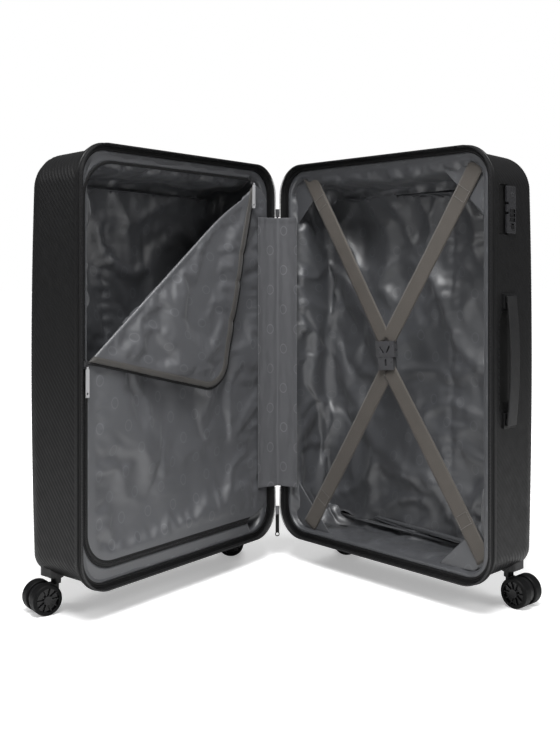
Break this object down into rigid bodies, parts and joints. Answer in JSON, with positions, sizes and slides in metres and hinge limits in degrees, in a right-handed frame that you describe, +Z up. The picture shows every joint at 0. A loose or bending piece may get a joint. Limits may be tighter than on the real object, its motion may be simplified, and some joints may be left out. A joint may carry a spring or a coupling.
{
  "type": "hard shell spinner suitcase",
  "caption": "Hard shell suitcase standing open on swivelling casters, with cross straps, a zipped fabric divider, carry handles and a telescopic handle.",
  "frame": {"origin": "floor under the middle of the bounding box, with the case standing open on its wheels", "axes": "+Z up; +X along the rim of the back half, away from the spine; +Y from the open side of the back half towards its rear panel"},
  "size_m": [0.6434, 0.6693, 0.751],
  "materials": {
    "shell": "satin",
    "trim_rubber": "satin",
    "tape": "matte",
    "lining": "matte",
    "strap": "matte",
    "buckle": "satin",
    "hard_black": "satin",
    "steel": "satin",
    "zinc": "polished",
    "tube": "satin",
    "tread": "matte",
    "pull": "matte"
  },
  "bodies": {
    "back_half": {"back_shell": "shell", "back_trim": "trim_rubber", "back_zip_tape": "tape", "back_lining": "lining", "strap_upper": "strap", "strap_lower_front": "strap", "strap_lower_back": "strap", "strap_gussets": "lining", "buckle_socket": "buckle", "buckle_plug": "buckle", "handle_bases": "hard_black", "lock_case": "hard_black", "trolley_bezel": "hard_black", "outer_tubes": "tube", "tube_bracket": "hard_black", "spine_cover_back": "lining", "caster_housings_back": "hard_black"},
    "front_half": {"front_shell": "shell", "front_trim": "trim_rubber", "front_zip_tape": "tape", "front_lining": "lining", "divider_margin": "lining", "divider_panel": "lining", "divider_zipper": "tape", "divider_sliders": "zinc", "spine_cover_front": "lining", "caster_housings_front": "hard_black"},
    "main_zip_sliders": {"main_sliders": "zinc"},
    "main_pull_lower": {"main_pull_lower": "pull"},
    "main_pull_upper": {"main_pull_upper": "pull"},
    "side_carry_grip": {"side_grip": "hard_black"},
    "top_carry_grip": {"top_grip": "hard_black"},
    "dial_1": {"lock_dial_1": "hard_black"},
    "dial_2": {"lock_dial_2": "hard_black"},
    "dial_3": {"lock_dial_3": "hard_black"},
    "lock_slide": {"lock_slide": "hard_black"},
    "key_barrel": {"lock_key_barrel": "zinc"},
    "middle_tubes": {"middle_tubes": "tube"},
    "pull_handle": {"inner_tubes": "tube", "trolley_grip": "hard_black"},
    "release_button": {"trolley_button": "hard_black"},
    "divider_pull_side": {"divider_pull_side": "zinc"},
    "divider_pull_top": {"divider_pull_top": "zinc"},
    "caster_back_outer": {"fork_back_outer": "hard_black", "axle_back_outer": "steel"},
    "wheel_back_outer_a": {"wheel_back_outer_a": "tread"},
    "wheel_back_outer_b": {"wheel_back_outer_b": "tread"},
    "caster_back_inner": {"fork_back_inner": "hard_black", "axle_back_inner": "steel"},
    "wheel_back_inner_a": {"wheel_back_inner_a": "tread"},
    "wheel_back_inner_b": {"wheel_back_inner_b": "tread"},
    "caster_front_outer": {"fork_front_outer": "hard_black", "axle_front_outer": "steel"},
    "wheel_front_outer_a": {"wheel_front_outer_a": "tread"},
    "wheel_front_outer_b": {"wheel_front_outer_b": "tread"},
    "caster_front_inner": {"fork_front_inner": "hard_black", "axle_front_inner": "steel"},
    "wheel_front_inner_a": {"wheel_front_inner_a": "tread"},
    "wheel_front_inner_b": {"wheel_front_inner_b": "tread"}
  },
  "joints": [
    {"name": "case_hinge", "type": "hinge", "parent": "back_half", "child": "front_half", "pos_m": [-0.17189, 0.17283, 0.396], "axis": [0, 0, 1], "range_deg": [-95, 80]},
    {"name": "zip_end_turn", "type": "hinge", "parent": "back_half", "child": "main_zip_sliders", "pos_m": [-0.17189, 0.17283, 0.396], "axis": [0, 0, 1], "range_deg": [-47.5, 40]},
    {"name": "main_pull_lower_swing", "type": "hinge", "parent": "main_zip_sliders", "child": "main_pull_lower", "pos_m": [-0.17771, 0.17772, 0.0845], "axis": [0.6428, 0.766, 0], "range_deg": [0, 90]},
    {"name": "main_pull_upper_swing", "type": "hinge", "parent": "main_zip_sliders", "child": "main_pull_upper", "pos_m": [-0.17771, 0.17772, 0.6515], "axis": [0.6428, 0.766, 0], "range_deg": [0, 90]},
    {"name": "side_grip_lift", "type": "slide", "parent": "back_half", "child": "side_carry_grip", "axis": [0.9992, 0.0393, 0], "range_m": [0, 0.006], "stiffness_N_per_m": 150},
    {"name": "top_grip_lift", "type": "slide", "parent": "back_half", "child": "top_carry_grip", "axis": [0, 0.0393, 0.9992], "range_m": [0, 0.006], "stiffness_N_per_m": 150},
    {"name": "dial_1_turn", "type": "hinge", "parent": "back_half", "child": "dial_1", "pos_m": [0.29998, 0.24216, 0.641], "axis": [0, 0, 1], "continuous": true},
    {"name": "dial_2_turn", "type": "hinge", "parent": "back_half", "child": "dial_2", "pos_m": [0.29998, 0.24216, 0.634], "axis": [0, 0, 1], "continuous": true},
    {"name": "dial_3_turn", "type": "hinge", "parent": "back_half", "child": "dial_3", "pos_m": [0.29998, 0.24216, 0.627], "axis": [0, 0, 1], "continuous": true},
    {"name": "lock_slide_push", "type": "slide", "parent": "back_half", "child": "lock_slide", "axis": [0, 0, 1], "range_m": [0, 0.003], "stiffness_N_per_m": 60},
    {"name": "key_turn", "type": "hinge", "parent": "back_half", "child": "key_barrel", "pos_m": [0.30428, 0.24233, 0.667], "axis": [0.9992, 0.0393, 0], "range_deg": [0, 90]},
    {"name": "middle_tubes_slide", "type": "slide", "parent": "back_half", "child": "middle_tubes", "axis": [0, 0, 1], "range_m": [0, 0.2]},
    {"name": "inner_tubes_slide", "type": "slide", "parent": "middle_tubes", "child": "pull_handle", "axis": [0, 0, 1], "range_m": [0, 0.19]},
    {"name": "release_button_push", "type": "slide", "parent": "pull_handle", "child": "release_button", "axis": [0, 0, -1], "range_m": [0, 0.004], "stiffness_N_per_m": 150},
    {"name": "divider_pull_side_swing", "type": "hinge", "parent": "front_half", "child": "divider_pull_side", "pos_m": [-0.0984, -0.28943, 0.397], "axis": [-0.1736, 0.9848, 0], "range_deg": [-90, 0]},
    {"name": "divider_pull_top_swing", "type": "hinge", "parent": "front_half", "child": "divider_pull_top", "pos_m": [-0.1689, 0.1104, 0.71], "axis": [-0.1736, 0.9848, 0], "range_deg": [-90, 0]},
    {"name": "swivel_back_outer", "type": "hinge", "parent": "back_half", "child": "caster_back_outer", "pos_m": [0.27311, 0.28183, 0.057], "axis": [0, 0, 1], "continuous": true},
    {"name": "roll_back_outer_a", "type": "hinge", "parent": "caster_back_outer", "child": "wheel_back_outer_a", "pos_m": [0.29711, 0.28183, 0.0245], "axis": [0, 1, 0], "continuous": true},
    {"name": "roll_back_outer_b", "type": "hinge", "parent": "caster_back_outer", "child": "wheel_back_outer_b", "pos_m": [0.29711, 0.28183, 0.0245], "axis": [0, 1, 0], "continuous": true},
    {"name": "swivel_back_inner", "type": "hinge", "parent": "back_half", "child": "caster_back_inner", "pos_m": [-0.12689, 0.28183, 0.057], "axis": [0, 0, 1], "continuous": true},
    {"name": "roll_back_inner_a", "type": "hinge", "parent": "caster_back_inner", "child": "wheel_back_inner_a", "pos_m": [-0.10905, 0.29789, 0.0245], "axis": [-0.6691, 0.7431, 0], "continuous": true},
    {"name": "roll_back_inner_b", "type": "hinge", "parent": "caster_back_inner", "child": "wheel_back_inner_b", "pos_m": [-0.10905, 0.29789, 0.0245], "axis": [-0.6691, 0.7431, 0], "continuous": true},
    {"name": "swivel_front_outer", "type": "hinge", "parent": "front_half", "child": "caster_front_outer", "pos_m": [-0.20196, -0.28433, 0.057], "axis": [0, 0, 1], "continuous": true},
    {"name": "roll_front_outer_a", "type": "hinge", "parent": "caster_front_outer", "child": "wheel_front_outer_a", "pos_m": [-0.20405, -0.30824, 0.0245], "axis": [0.9962, -0.0872, 0], "continuous": true},
    {"name": "roll_front_outer_b", "type": "hinge", "parent": "caster_front_outer", "child": "wheel_front_outer_b", "pos_m": [-0.20405, -0.30824, 0.0245], "axis": [0.9962, -0.0872, 0], "continuous": true},
    {"name": "swivel_front_inner", "type": "hinge", "parent": "front_half", "child": "caster_front_inner", "pos_m": [-0.27142, 0.10959, 0.057], "axis": [0, 0, 1], "continuous": true},
    {"name": "roll_front_inner_a", "type": "hinge", "parent": "caster_front_inner", "child": "wheel_front_inner_a", "pos_m": [-0.25536, 0.12743, 0.0245], "axis": [-0.7431, 0.6691, 0], "continuous": true},
    {"name": "roll_front_inner_b", "type": "hinge", "parent": "caster_front_inner", "child": "wheel_front_inner_b", "pos_m": [-0.25536, 0.12743, 0.0245], "axis": [-0.7431, 0.6691, 0], "continuous": true}
  ],
  "couplings": [
    {"joint": "zip_end_turn", "follows": "case_hinge", "ratio": 0.5}
  ]
}
